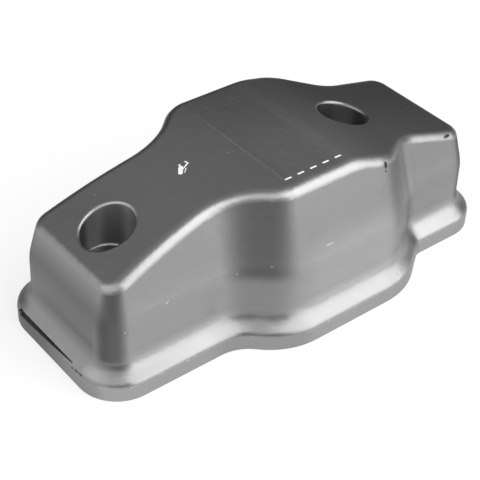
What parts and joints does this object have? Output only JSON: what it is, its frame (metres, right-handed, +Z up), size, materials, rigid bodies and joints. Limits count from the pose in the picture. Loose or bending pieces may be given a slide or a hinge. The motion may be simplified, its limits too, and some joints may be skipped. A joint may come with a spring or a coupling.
{
  "type": "engine valve cover",
  "caption": "Hollow cast engine valve cover with an arched roof, a wider middle, a flared foot on a flat seating rim and deep round bolt wells sunk through the roof.",
  "frame": {"origin": "centre of the overall outline, on the flat face that seats on the engine", "axes": "+X along the length, towards the end where the roof falls straight; +Y across; +Z up, away from the seating face"},
  "size_m": [0.24, 0.126, 0.0782],
  "materials": {
    "cast_metal": "smooth satin casting"
  },
  "bodies": {
    "root": {"valve_cover": "cast_metal"}
  },
  "joints": []
}
